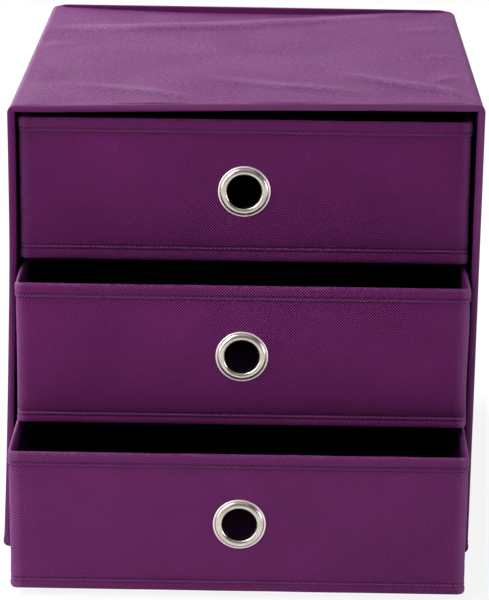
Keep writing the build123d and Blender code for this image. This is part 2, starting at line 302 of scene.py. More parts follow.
# reads two mesh attributes: one for painted highlight, one for painted shade in folds, creases and on the
# drawers' walls
def clothMaterial(name):
    tones = clothTones[name]
    material, tree, shader = newMaterial(name)
    flat = addNode(tree, "ShaderNodeUVMap", uv_map="clothFlat").outputs["UV"]
    weave = addNode(tree, "ShaderNodeGroup", {
        "Flat": flat,
        "Deep": tones["deep"],
        "Raised": tones["raised"],
        "Lint": tones["lint"],
        "Pitch": clothLook["pitch"],
        "Contrast": tones["contrast"],
    }, node_tree=clothGroup).outputs
    dustAndSheenMask = addNode(tree, "ShaderNodeGroup", {"Where": flat, "Amount": tones["dustAndSheen"]},
                      node_tree=dustAndSheenGroup)
    paintedHighlight = addNode(tree, "ShaderNodeAttribute", attribute_name="paintedHighlight").outputs["Fac"]
    paintedShade = addNode(tree, "ShaderNodeAttribute", attribute_name="paintedShade").outputs["Fac"]
    onRidges = remap(tree, weave["Height"], 0.1, 0.9, 0.4, 1.6)      # the painted highlight lies mostly on the raised fibres
    paintedLight = calc(tree, "MULTIPLY", paintedHighlight, onRidges, True)
    withPaintedHighlight = mixColours(tree, paintedLight, weave["Color"], clothLook["highlightColour"])
    withPaintedShade = mixColours(tree, paintedShade, withPaintedHighlight, tones["deep"])
    feed(tree, shader, {
        "Base Color": mixColours(tree, dustAndSheenMask.outputs["Mask"], withPaintedShade, clothLook["lintAndSheenColour"]),
        "Roughness": weave["Roughness"],
        "Normal": bumped(tree, weave["Height"], clothLook["emboss"], clothLook["embossStrength"]),
        "Sheen Weight": clothLook["sheen"],
        "Sheen Roughness": clothLook["sheenRoughness"],
        "Sheen Tint": clothLook["sheenTint"],
        "Specular IOR Level": clothLook["gloss"],
        "Specular Tint": clothLook["glossTint"],
    })
    return material


# the rim's thread is a darker copy of the foot's: painted shade for the stitches sunk in the rim's groove
threadTones = {                 # dark, light
    "rimThread": ((0.030, 0.0020, 0.025, 1), (0.080, 0.0100, 0.068, 1)),
    "footThread": ((0.100, 0.0140, 0.085, 1), (0.260, 0.0800, 0.235, 1)),
}
threadLook = {
    "twist": 0.08 * mm,
    "twistStrength": 0.6,
    "sheen": 0.1,
    "sheenTint": (0.75, 0.60, 0.95, 1.0),
    "gloss": 0.2,
}


def threadMaterial(name):
    dark, light = threadTones[name]
    material, tree, shader = newMaterial(name)
    flat = addNode(tree, "ShaderNodeUVMap", uv_map="clothFlat").outputs["UV"]
    plies = addNode(tree, "ShaderNodeGroup", {"Flat": flat, "Dark": dark, "Light": light},
                    node_tree=threadGroup).outputs
    feed(tree, shader, {
        "Base Color": plies["Color"],
        "Roughness": plies["Roughness"],
        "Normal": bumped(tree, plies["Height"], threadLook["twist"], threadLook["twistStrength"]),
        "Sheen Weight": threadLook["sheen"],
        "Sheen Tint": threadLook["sheenTint"],
        "Specular IOR Level": threadLook["gloss"],
    })
    return material


boardLook = {
    "pulpScale": 420.0,
    "fleckScale": 1500.0,
    "darkPulp": (0.30, 0.27, 0.23, 1.0),
    "palePulp": (0.50, 0.46, 0.40, 1.0),
    "fleck": (0.17, 0.15, 0.13, 1.0),
    "roughness": (0.78, 0.95),
    "grain": 0.2 * mm,
    "grainStrength": 0.5,
    "gloss": 0.25,
}


# grey chipboard with flecks in its pulp
def boardMaterial():
    material, tree, shader = newMaterial("greyPulpBoard")
    where = addNode(tree, "ShaderNodeTexCoord").outputs["Object"]
    pulp = noise(tree, where, boardLook["pulpScale"], 5.0, 0.65)
    flecks = remap(tree, noise(tree, where, boardLook["fleckScale"]), 0.6, 0.72, 0.0, 1.0)
    tones = addNode(tree, "ShaderNodeValToRGB", {"Fac": pulp})
    tones.color_ramp.elements[0].color = boardLook["darkPulp"]
    tones.color_ramp.elements[1].color = boardLook["palePulp"]
    feed(tree, shader, {
        "Base Color": mixColours(tree, flecks, tones.outputs["Color"], boardLook["fleck"]),
        "Roughness": remap(tree, pulp, 0.2, 0.8, *boardLook["roughness"]),
        "Normal": bumped(tree, pulp, boardLook["grain"], boardLook["grainStrength"]),
        "Specular IOR Level": boardLook["gloss"],
    })
    return material


plateTones = {                  # bright, dull, painted highlight on the outer bead
    "satinNickel": ((0.70, 0.64, 0.58, 1.0), (0.52, 0.46, 0.40, 1.0), (1.0, 0.88, 0.90, 1.0)),
    "washerPlate": ((0.52, 0.49, 0.45, 1.0), (0.36, 0.33, 0.30, 1.0), (0.62, 0.58, 0.55, 1.0)),
}
plateLook = {
    "edge": (0.93, 0.955),      # of the ring's reach: where the painted highlight on the outer bead starts and where it is full
    "edgeRough": 0.25,
    "dustAndSheen": 0.06,
    "dustColour": (0.40, 0.33, 0.36, 1.0),
    "scuffs": 0.02 * mm,
    "scuffStrength": 0.35,
}


def plateMaterial(name):
    bright, dull, paintedHighlight = plateTones[name]
    material, tree, shader = newMaterial(name)
    places = addNode(tree, "ShaderNodeTexCoord").outputs
    where = places["Object"]
    plate = addNode(tree, "ShaderNodeGroup", {"Where": where, "Bright": bright, "Dull": dull},
                    node_tree=plateGroup).outputs
    inBox = vectorCalc(tree, "SUBTRACT", places["Generated"], (0.5, 0.5, 0.5))[0]
    level = vectorCalc(tree, "MULTIPLY", inBox, (2.0, 0.0, 2.0))[0]
    reach = vectorCalc(tree, "LENGTH", level)["Value"]
    # painted highlight round the outer bead
    edge = remap(tree, reach, *plateLook["edge"], 0.0, 1.0)
    edged = mixColours(tree, edge, plate["Color"], paintedHighlight)
    dustAndSheenMask = addNode(tree, "ShaderNodeGroup", {"Where": where, "Amount": plateLook["dustAndSheen"]},
                      node_tree=dustAndSheenGroup)
    scraped = calc(tree, "MULTIPLY", edge, plateLook["edgeRough"])
    feed(tree, shader, {
        "Base Color": mixColours(tree, dustAndSheenMask.outputs["Mask"], edged, plateLook["dustColour"]),
        "Roughness": calc(tree, "ADD", plate["Roughness"], scraped),
        "Normal": bumped(tree, plate["Height"], plateLook["scuffs"], plateLook["scuffStrength"]),
        "Metallic": 1.0,
    })
    return material


coverCloth = clothMaterial("coverCloth")
bindingCloth = clothMaterial("bindingCloth")
liningCloth = clothMaterial("liningCloth")
rimThread = threadMaterial("rimThread")
footThread = threadMaterial("footThread")
greyPulpBoard = boardMaterial()
satinNickel = plateMaterial("satinNickel")
washerPlate = plateMaterial("washerPlate")
print("materials made")


# shape helpers
def ease(value, start, end):
    share = np.clip((value - start) / (end - start), 0, 1)
    return share * share * (3 - 2 * share)


# soft uneven waves about as long as size, between -1 and 1
def ripple(u, v, size, seed):
    dice = np.random.default_rng(seed)
    total = 0.0
    for turn in dice.uniform(0, math.tau, 6):
        length = size * dice.uniform(0.6, 1.7)
        total = total + np.sin(math.tau * (u * math.cos(turn) + v * math.sin(turn)) / length
                               + dice.uniform(0, math.tau))
    return total / 3.5


# points and outward directions along a rounded rectangle, anticlockwise from the middle of its far side
def loopAt(half, corner, along):
    hx, hy = half
    cx, cy = hx - corner, hy - corner
    bend = corner * math.pi / 2
    runs = [cx, bend, 2 * cy, bend, 2 * cx, bend, 2 * cy, bend, cx]
    starts = [(0, hy), (-cx, cy), (-hx, cy), (-cx, -cy), (-cx, -hy),
              (cx, -cy), (hx, -cy), (cx, cy), (cx, hy)]
    headings = [180, 90, 270, 180, 0, 270, 90, 0, 180]   # of a straight, or where a bend's arc starts
    along = np.mod(np.asarray(along, float), sum(runs))
    points = np.zeros((len(along), 2))
    outward = np.zeros((len(along), 2))
    done = 0.0
    for order, run in enumerate(runs):
        here = (along >= done) & (along <= done + run + 1e-9)
        far = (along[here] - done)[:, None]
        angle = math.radians(headings[order])
        if order % 2:
            turn = angle + far / corner
            outward[here] = np.hstack([np.cos(turn), np.sin(turn)])
            points[here] = np.array(starts[order]) + corner * outward[here]
        else:
            points[here] = np.array(starts[order]) + far * np.array([math.cos(angle), math.sin(angle)])
            outward[here] = (math.sin(angle), -math.cos(angle))
        done += run
    return points, outward


def loopLength(half, corner):
    return 4 * (half[0] + half[1] - 2 * corner) + math.tau * corner


# even columns on each straight, with a few round each corner
def loopColumns(half, corner, step, bends):
    cx, cy = half[0] - corner, half[1] - corner
    bend = corner * math.pi / 2
    marks = []
    done = 0.0
    for run in (cx, bend, 2 * cy, bend, cx, cx, bend, 2 * cy, bend, cx):
        count = bends if run == bend else max(1, round(run / step))
        marks.extend(done + run * np.arange(count) / count)
        done += run
    return np.array(marks)


# flat points raised to a height
def atHeight(points, z):
    return np.column_stack([points, np.full(len(points), z)])


# all pairs of two rows of lengths
def gridOf(across, along):
    return np.stack(np.meshgrid(across, along), -1)


# a profile of (outward, up) pairs, or (outward, up, pucker) triples, carried along a loop
def sweep(half, corner, columns, profile, pucker=0.0, drift=0.0, lift=0.0):
    points, outward = loopAt(half, corner, columns)
    rows = []
    for out, up, *pull in profile:
        reach = out + drift + (pull[0] if pull else 0.0) * pucker
        ring = points + np.reshape(reach * np.ones(len(points)), (-1, 1)) * outward
        rows.append(np.column_stack([ring, up + lift * np.ones(len(points))]))
    return np.array(rows)


def lengthsAlong(profile):
    return np.cumsum([0.0] + [math.dist(a[:2], b[:2]) for a, b in zip(profile, profile[1:])])


# lengths across and along the cloth as it lay before it was folded, for the pressed pattern
def flatOf(columns, profile, total=None):
    across = np.append(columns, total) if total else columns
    return gridOf(across, lengthsAlong(profile))


# rows shrunk towards the middle, for a tray's floor
def floorRows(edge, middle, shares):
    return np.array([middle + (edge - middle) * share for share in shares])


def flatFloor(rows):
    return np.concatenate([rows, rows[:, :1]], 1)[..., :2]


# patches are grids of points with their flat lengths, closed or open,
# with cells cut out where a mask says so
def meshFrom(name, patches, material):
    spots, quads, flats = [], [], []
    first = 0
    for patch in patches:
        points, flat, closed = patch[:3]
        rows, cols = points.shape[:2]
        r, c = np.mgrid[0:rows - 1, 0:cols if closed else cols - 1]
        keep = np.ones(r.shape, bool) if len(patch) < 4 else ~patch[3]
        r, c = r[keep], c[keep]
        d = (c + 1) % cols      # the first column again, where a patch closes
        quad = [r * cols + c, r * cols + d, (r + 1) * cols + d, (r + 1) * cols + c]
        quads.append(first + np.column_stack(quad))
        corners = [flat[r, c], flat[r, c + 1], flat[r + 1, c + 1], flat[r + 1, c]]
        flats.append(np.stack(corners, 1).reshape(-1, 2))
        spots.append(points.reshape(-1, 3))
        first += rows * cols
    mesh = bpy.data.meshes.new(name)
    mesh.from_pydata(np.concatenate(spots).tolist(), [], np.concatenate(quads).tolist())
    layer = mesh.uv_layers.new(name="clothFlat")
    layer.data.foreach_set("uv", np.concatenate(flats).ravel())
    work = bmesh.new()
    work.from_mesh(mesh)
    bmesh.ops.remove_doubles(work, verts=work.verts, dist=2e-6)
    loose = [v for v in work.verts if not v.link_faces]
    bmesh.ops.delete(work, geom=loose, context="VERTS")
    work.to_mesh(mesh)
    work.free()
    mesh.shade_smooth()
    mesh.materials.append(material)
    piece = bpy.data.objects.new(name, mesh)
    scene.collection.objects.link(piece)
    return piece


# how much painted highlight or painted shade lies at each point of a piece
def mark(piece, paintedLight, shareAt):
    spots = np.zeros(3 * len(piece.data.vertices))
    piece.data.vertices.foreach_get("co", spots)
    layer = piece.data.attributes.new(paintedLight, "FLOAT", "POINT")
    layer.data.foreach_set("value", np.clip(shareAt(*spots.reshape(-1, 3).T), 0, 1))


def thicken(piece, thick):
    skin = piece.modifiers.new("clothThickness", "SOLIDIFY")
    skin.thickness = thick
    skin.offset = -1.0
    return piece


# a bent board in place of its CAD node
def fixBoard(name, patch, thick, body, node):
    board = thicken(meshFrom(name, [patch], greyPulpBoard), thick)
    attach(board, body)
    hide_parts(node)
    return board


# one cloth piece, riding on its body and standing for its CAD nodes
def sewOn(piece, body, nodes, thick, threads=()):
    thicken(piece, thick)
    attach(piece, body)
    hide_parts(*nodes)
    for thread in threads:
        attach(thread, body)


stitch = {
    "pitch": 3.1 * mm,
    "share": 0.80,              # of the pitch that shows as thread
    "thread": 0.27 * mm,
    "bow": 0.16 * mm,
    "slant": 0.10,
}


# short bowed stitches at given points, with their ends going into the cloth
def stitchRow(name, centres, along, outward, thread):
    sides = 6
    shares = np.array([-1.0, -0.8, -0.35, 0.35, 0.8, 1.0])
    rise = np.array([-1.6, -0.1, 0.8, 0.8, -0.1, -1.6]) * stitch["bow"]
    girth = np.array([0.45, 0.9, 1.0, 1.0, 0.9, 0.45]) * stitch["thread"]
    reach = stitch["pitch"] * stitch["share"] / 2
    turn = np.arange(sides) * math.tau / sides
    patches = []
    for spot, way, out in zip(centres, along, outward):
        across = np.cross(out, way)
        way = way + stitch["slant"] * across
        lift = (rise[:, None] + girth[:, None] * np.cos(turn))[..., None] * out
        side = (girth[:, None] * np.sin(turn))[..., None] * across
        points = spot + (shares * reach)[:, None, None] * way + lift + side
        patches.append((points, gridOf(np.arange(sides + 1) * stitch["thread"], shares * reach), True))
    return meshFrom(name, patches, thread)


def loopStitches(name, half, corner, columns, out, up, centre, thread, shift, inward=False):
    points, outward = loopAt(half, corner, columns)
    spots = shift(atHeight(points + out * outward, up) + centre)
    along = atHeight(np.column_stack([-outward[:, 1], outward[:, 0]]), 0.0)
    facing = atHeight(-outward if inward else outward, 0.0)
    return stitchRow(name, spots, along, facing, thread)


# casing sizes, read from the frame
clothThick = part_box("base_cover")[1].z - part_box("base_cover")[0].z
wallLow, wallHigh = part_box("right_cover")
topLow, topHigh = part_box("top_cover")
bandLow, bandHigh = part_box("base_band")
wallOut = wallHigh.x            # outer face of the side cloth
roof = wallHigh.z               # top of the casing
foot = wallLow.z                # lower edge of the wall cloth
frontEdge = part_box("front_binding")[0].y
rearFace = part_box("back_cover")[1].y

casing = {
    "corner": 5.5 * mm,         # of the rounded long edges
    "sag": topHigh.z - topLow.z - clothThick,
    "lean": 8.0 * mm,           # how far the left wall leans out at the front of its foot
    "leanHeight": 230 * mm,
    "leanRear": 0.35,           # share of the lean that is left at the rear
    "leanIn": 1.2 * mm,         # how far it leans in at its top, and between which heights this comes on
    "leanInFrom": (120 * mm, 300 * mm),
    "leanSide": (143 * mm, 154 * mm),   # out from the middle, where the leaning comes on
    "frontLift": 4.3 * mm,      # of the top's right front corner
    "rearLift": (3.4 * mm, 2.2 * mm),   # of its left and right rear corners
    "liftFrom": (222 * mm, 308 * mm),   # heights between which the walls stretch
    "frontTuck": 2.4 * mm,      # of the wrap under the front binding, and of its lap on the back cloth
    "rearTuck": 0.8 * mm,
    "slack": 0.45 * mm,         # unevenness of the side cloth, the top cloth and the back cloth
    "topSlack": 0.40 * mm,
    "backSlack": 0.6 * mm,
    "backProud": 0.12 * mm,     # of the side cloth, where the back cloth laps on to it
    "backLap": 4 * mm,
    "hemRise": 1.3 * mm,        # of the rear fold above the top
    "hemSway": 0.25 * mm,
}

# folds in the top cloth: points along the crest, height and width in millimetres,
# and how dark the painted shade in the hollow in front is
topFolds = [
    ([(-146, 76), (-101, 83), (-64, 93), (-13, 104), (56, 130), (120, 150)], 3.2, 9.0, 0.16),
    ([(-120, -97), (-89, -108), (-68, -118), (-38, -137)], 2.0, 6.0, 0.36),
    ([(-22, -80), (29, -106), (86, -127)], 2.0, 7.0, 0.34),
    ([(70, -66), (102, -94), (131, -113), (153, -134)], 2.4, 6.5, 0.30),
    ([(124, -94), (152, -72)], 1.3, 5.0, 0.14),
    ([(126, -14), (150, -10)], 1.1, 5.0, 0.12),
    ([(120, 84), (152, 88)], 1.3, 6.0, 0.14),
    ([(-152, 20), (-128, 26)], 0.9, 6.0, 0.10),
]
foldLook = {
    "crossing": 0.15,           # how much the lower of two folds adds where they cross
    # painted highlight along the crests, then painted shade in the hollows
    "paintedHighlight": 0.12,             # for each millimetre of height
    "highlightFore": 2.0 * mm,     # how far in front of the crest, and how wide
    "highlightWidth": 0.7,
    "hollowFore": 10.0 * mm,
    "hollowWidth": 1.1,
}


# 1 on the line of a crest, fading to its sides and its ends
def nearCrest(x, y, crest, width):
    crest = np.array(crest, float) * mm
    share = np.linspace(0, 1, len(crest))
    steps = np.linspace(0, 1, 70)
    line = np.column_stack([np.interp(steps, share, crest[:, 0]), np.interp(steps, share, crest[:, 1])])
    fade = np.sin(math.pi * np.clip(steps, 0.02, 0.98)) ** 0.5
    gap = np.hypot(x[..., None] - line[:, 0], y[..., None] - line[:, 1])
    return np.max(fade * np.exp(-(gap / (width * mm)) ** 2), -1)


def foldHeight(x, y):
    total = np.zeros(np.shape(x))
    for crest, height, width, _ in topFolds:
        lift = height * mm * nearCrest(x, y, crest, width)
        total = np.maximum(total, lift) + foldLook["crossing"] * np.minimum(total, lift)
    return total


def onTopOnly(z):
    return ease(z, roof - 12 * mm, roof - 6 * mm)


# painted highlight on the crests of the folds, a little in front of their tops
def foldHighlight(x, y, z):
    total = np.zeros(np.shape(x))
    for crest, height, width, _ in topFolds:
        near = nearCrest(x, y + foldLook["highlightFore"], crest, foldLook["highlightWidth"] * width)
        total = np.maximum(total, foldLook["paintedHighlight"] * height * near)
    return total * onTopOnly(z)


# and painted shade in the hollows in front of them
def foldShade(x, y, z):
    total = np.zeros(np.shape(x))
    for crest, _, width, dark in topFolds:
        near = nearCrest(x, y + foldLook["hollowFore"], crest, foldLook["hollowWidth"] * width)
        total = np.maximum(total, dark * near)
    return total * onTopOnly(z)


# 0 at the front of the casing, 1 at its rear
def backShare(y):
    return np.clip((y - frontEdge) / (rearFace - frontEdge), 0, 1)


# the casing stands out of true: its left wall leans out at the foot and in at the top,
# and its top is lifted, least at the left front corner; all that is sewn to it follows
def outOfTrue(points):
    x, y, z = points[..., 0], points[..., 1], points[..., 2]
    low = np.clip(1 - z / casing["leanHeight"], 0, 1) ** 1.5
    fore = 1 - (1 - casing["leanRear"]) * ease(y, frontEdge, rearFace)
    lean = casing["leanIn"] * ease(z, *casing["leanInFrom"]) - casing["lean"] * low * fore
    across = np.clip(x / wallOut / 2 + 0.5, 0, 1)
    back = backShare(y)
    front = casing["frontLift"] * np.sin(math.pi / 2 * np.clip((across - 0.08) / 0.92, 0, 1))
    left, right = casing["rearLift"]
    lift = front * (1 - back) + (left + (right - left) * across) * back
    moved = points.copy()
    moved[..., 0] += lean * ease(-x, *casing["leanSide"])
    moved[..., 2] += lift * ease(z, *casing["liftFrom"])
    return moved


# one length of cloth up the left side, over the top and down the right side
def makeCasingWrap():
    corner = casing["corner"]
    drop = (roof - corner - foot) / 2
    half = (wallOut, drop + corner)
    middle = foot + drop
    run = half[0] - corner
    bend = corner * math.pi / 2
    side = np.linspace(run + bend, run + bend + 2 * drop, 48)
    turn = np.linspace(run, run + bend, 11)
    top = np.linspace(0, run, 62)
    right = np.unique(np.round(np.concatenate([top, turn, side]), 9))
    columns = np.concatenate([right[::-1], -right[1:]])
    points, outward = loopAt(half, corner, columns)
    ys = np.linspace(frontEdge + casing["frontTuck"], rearFace - corner + casing["rearTuck"], 104)
    x = np.tile(points[:, 0], (len(ys), 1))
    z = np.tile(points[:, 1] + middle, (len(ys), 1))
    y = np.tile(ys[:, None], (1, len(columns)))
    nx, nz = outward[:, 0], outward[:, 1]
    onTop = np.clip(1 - (np.abs(x) / run) ** 2, 0, 1) * (nz > 0.99)
    sink = casing["sag"] * onTop * backShare(y)
    level = ease(run - np.abs(x), 0, 14 * mm) * (nz > 0.99)
    uneven = level * (1 - ease(y, 100 * mm, 148 * mm))
    loose = casing["topSlack"] * uneven * (1 + ripple(x, 1.6 * y, 64 * mm, 4))
    crease = foldHeight(x, y) * level + loose
    onSide = ease(np.abs(nx), 0.9, 1.0) * ease(roof - z, 4 * mm, 60 * mm)
    onSide = onSide * ease(y - frontEdge, 8 * mm, 40 * mm)
    puff = casing["slack"] * onSide * (1 + ripple(y, z + 0.5 * x, 120 * mm, 9))
    x = x + nx * puff
    z = z - sink + crease
    grid = outOfTrue(np.stack([x, y, z], -1))
    wrap = meshFrom("casingWrap", [(grid, gridOf(-columns, ys), False)], coverCloth)
    mark(wrap, "paintedHighlight", foldHighlight)
    mark(wrap, "paintedShade", foldShade)
    sewOn(wrap, "casing", ["left_cover", "top_cover", "right_cover"],
          clothThick)


# the back panel, rounded at its edges, folded over the top and down inside
def makeBackCloth():
    corner = casing["corner"]
    half = (wallOut + casing["backProud"], wallOut + casing["backProud"])
    shift = rearFace - wallOut
    run = half[0] - corner
    bend = corner * math.pi / 2
    back = np.linspace(0, run, 66)
    turn = np.linspace(run, run + bend, 11)
    side = np.linspace(run + bend, run + bend + casing["backLap"], 3)
    left = np.unique(np.round(np.concatenate([back, turn, side]), 9))
    columns = np.concatenate([-left[::-1], left[1:]])
    points, outward = loopAt(half, corner, columns)
    core = points - corner * outward
    heights = np.linspace(foot, roof - corner, 60)
    arcs = np.linspace(0, math.pi / 2, 11)[1:]
    rows = []
    for z in heights:
        slack = ease(z, foot, 60 * mm) * ease(roof - z, 6 * mm, 60 * mm) * (np.abs(points[:, 0]) < run)
        slack = slack * ease(run - np.abs(points[:, 0]), 0, 40 * mm)
        wave = casing["backSlack"] * slack * (1 + ripple(points[:, 0], z, 110 * mm, 21))
        rows.append(atHeight(points + wave[:, None] * outward, z))
    for arc in arcs:
        ring = core + corner * math.cos(arc) * outward
        rows.append(atHeight(ring, roof - corner + corner * math.sin(arc)))
    grid = np.array(rows)
    grid[..., 1] += shift
    proud = ease(grid[..., 2], roof - 14 * mm, roof) * ease(run - np.abs(grid[..., 0]), -2 * mm, 8 * mm)
    grid[..., 2] += casing["hemRise"] * proud
    grid = outOfTrue(grid)
    lengths = np.concatenate([heights, heights[-1] + corner * arcs])
    flat = gridOf(columns, lengths)
    straight = np.abs(columns) <= run + 1e-7
    fold = [(0.0, 0.0), (0.35, 0.06), (0.62, 0.3), (0.72, 0.8),      # forwards and down, in millimetres
            (0.72, 2.0), (0.66, 4.0), (0.7, 6.5), (0.6, 9.5)]
    hem = grid[-1][straight]
    free = ease(run - np.abs(hem[:, 0]), 0, 20 * mm)
    sway = casing["hemSway"] * ripple(hem[:, 0], 0, 60 * mm, 31) * free
    hemRows = [hem + np.column_stack([0 * sway, -fore * mm + sway * (down > 0.2), 0 * sway - down * mm])
               for fore, down in fold]
    downs = np.array([down for _, down in fold]) * mm
    hemFlat = gridOf(columns[straight], lengths[-1] + downs)
    cloth = meshFrom("backCloth", [(grid, flat, False), (np.array(hemRows), hemFlat, False)], coverCloth)
    sewOn(cloth, "casing", ["back_cover"],
          clothThick)


lap = {
    "outside": 6.0,             # millimetres, as the next three
    "inside": 8.0,
    "proud": 0.32,
    "dome": 0.28,
    "wobble": 0.14 * mm,
    "mitreDent": 0.45 * mm,     # a seam at each corner, back from the front and wide
    "mitreWidth": 0.6 * mm,
    "pressed": 0.95 * mm,       # down under the bottom drawer
    "paintedLight": 0.12,               # painted highlight on the outer edges
    "highlightRight": 0.16,          # painted highlight on the whole right upright
}


# the strip round the opening: a short lap outside, a domed front and a lap inside
def makeFrontBinding():
    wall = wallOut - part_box("right_lining")[0].x
    w = wall / mm
    half = (wallOut, (roof - foot) / 2)
    corner = casing["corner"]
    total = loopLength(half, corner)
    columns = loopColumns(half, corner, 2.0 * mm, 16)
    front = frontEdge / mm
    p, d = lap["proud"], lap["dome"]
    turned = [(p, 3.0), (p + 0.10, 1.6), (p + 0.08, 0.85),
              (p - 0.08, 0.35), (p - 0.42, 0.06), (p - 0.9, 0.0)]
    outer = [(0.05, lap["outside"]), (p, lap["outside"] - 0.2), (p - 0.05, 4.4)] + turned
    inner = [(-w - 0.05, lap["inside"]), (-w - p, lap["inside"] - 0.2), (-w - p, 5.0)]
    inner += [(-w - out, along) for out, along in turned]
    dome = [(-1.7, -0.6 * d), (-w / 2, -d), (-w + 1.7, -0.6 * d)]
    profile = [(out * mm, (front + along) * mm) for out, along in outer + dome + inner[::-1]]
    bend = corner * math.pi / 2
    flatWide, flatTall = half[0] - corner, half[1] - corner
    mitres = np.cumsum([flatWide + bend / 2, bend + 2 * flatTall, bend + 2 * flatWide, bend + 2 * flatTall])
    dent = np.exp(-(np.min(np.abs(columns[:, None] - mitres), 1) / lap["mitreWidth"]) ** 2)
    wobble = lap["wobble"] * ripple(columns, 0, 46 * mm, 12) + lap["mitreDent"] * dent
    grid = sweep(half, corner, columns, profile, lift=wobble)[..., [0, 2, 1]]
    grid[..., 2] += (roof + foot) / 2
    z = grid[..., 2]
    grid[..., 2] -= lap["pressed"] * np.clip(z / (5 * mm), 0, 1) * (1 - ease(z, 5.2 * mm, 16 * mm))
    grid = outOfTrue(grid)
    strip = meshFrom("frontBinding", [(grid, flatOf(columns, profile, total), True)], bindingCloth)

    # painted highlight on the binding's outer edges and over the right upright
    def lipHighlight(x, y, z):
        edge = np.maximum(ease(np.abs(x), wallOut - 2 * mm, wallOut), ease(z, roof - 2 * mm, roof))
        right = lap["highlightRight"] * ease(x, wallOut - 4.5 * mm, wallOut - 2 * mm)
        return np.maximum(lap["paintedLight"] * edge, right) * (1 - ease(y, frontEdge, frontEdge + 2 * mm))

    mark(strip, "paintedHighlight", lipHighlight)
    sewOn(strip, "casing", ["front_binding"], clothThick)


band = {
    "puff": 1.0,                # millimetres, as the next one
    "stitchDown": 1.9,
    "stitchOut": 0.5 * mm,
    "pucker": 0.08 * mm,
    "wander": 0.10 * mm,
    "endRound": 2.5 * mm,       # how the ends are rounded in
    "endTuck": 1.1 * mm,
}


# padded strip sewn round the foot on three sides
def makeFootBand():
    corner = casing["corner"]
    rear = bandHigh.y
    run = (rear - corner - frontEdge) / 2
    half = (wallOut, run + corner)
    centre = np.array([0.0, rear - half[1], bandLow.z])
    reach = half[0] - corner + corner * math.pi / 2 + 2 * run
    count = 2 * round(reach / stitch["pitch"])
    columns = np.linspace(-reach, reach, 2 * count + 1)
    h, p = (bandHigh.z - bandLow.z) / mm, band["puff"]
    seam = h - band["stitchDown"]
    roll = [(-0.9, 0.0, 0), (-0.3, 0.2, 0), (0.2, 0.65, 0), (0.58 * p, 1.3, 0), (0.82 * p, 2.1, 0.1),
            (p, 3.2, 0.2), (p, 4.2, 0.3), (0.85 * p, 5.2, 0.5), (0.6 * p, seam - 0.9, 0.8),
            (0.42, seam, 1.0), (0.62, seam + 0.8, 0.6), (0.62, h - 0.3, 0.3), (0.4, h, 0),
            (-0.1, h - 0.15, 0)]
    profile = [(out * mm, up * mm, pull) for out, up, pull in roll]
    pucker = band["pucker"] * np.cos(math.tau * columns / stitch["pitch"])
    nearEnd = np.clip((reach - np.abs(columns)) / band["endRound"], 0, 1)
    tuck = band["endTuck"] * (1 - np.sqrt(1 - (1 - nearEnd) ** 2))
    drift = band["wander"] * ripple(columns, 0, 40 * mm, 5) - tuck
    grid = outOfTrue(sweep(half, corner, columns, profile, pucker, drift) + centre)
    strip = meshFrom("footBand", [(grid, flatOf(columns, profile), False)], bindingCloth)
    places = np.arange(-reach + stitch["pitch"], reach - stitch["pitch"] / 2, stitch["pitch"])
    threads = loopStitches("footBandStitches", half, corner, places, band["stitchOut"], seam * mm, centre,
                           footThread, outOfTrue)
    sewOn(strip, "casing", ["base_band"], clothThick,
          [threads])


# the underside, a little narrower than the walls
def makeBaseCloth():
    low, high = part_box("base_cover")
    inset = 0.3 * mm
    half = (high.x - inset, (high.y - low.y) / 2)
    corner = casing["corner"]
    columns = loopColumns(half, corner, 6 * mm, 8)
    points, _ = loopAt(half, corner, columns)
    edge = atHeight(points, 0.0)
    rows = floorRows(edge, np.zeros(3), [0.0, 0.2, 0.4, 0.6, 0.8, 0.93, 0.99, 1.0])
    rows[..., 2] += clothThick * 0.02       # clear of the floor
    sheet = meshFrom("baseCloth", [(outOfTrue(rows), flatFloor(rows), True)], coverCloth)
    sewOn(sheet, "casing", ["base_cover"],
          clothThick)


# a panel from a corner, along two directions, with a little slack inside its margin
def panelPatch(start, across, along, wide, tall, seed, slack, step=9 * mm):
    start, across, along = (np.array(v, float) for v in (start, across, along))
    u = np.linspace(0, wide, max(3, round(wide / step)))
    v = np.linspace(0, tall, max(3, round(tall / step)))
    uu, vv = np.meshgrid(u, v)
    margin = 22 * mm
    free = ease(np.minimum(uu, wide - uu), 0, margin) * ease(np.minimum(vv, tall - vv), 0, margin)
    puff = slack * free * (1 + ripple(uu, vv, 95 * mm, seed))
    points = start + uu[..., None] * across + vv[..., None] * along
    return points + puff[..., None] * np.cross(across, along), np.stack([uu, vv], -1), False


# how far the middle of the top sags, more towards the rear
def sagAt(points, halfWide):
    return casing["sag"] * (1 - (points[..., 0] / halfWide) ** 2) * backShare(points[..., 1])


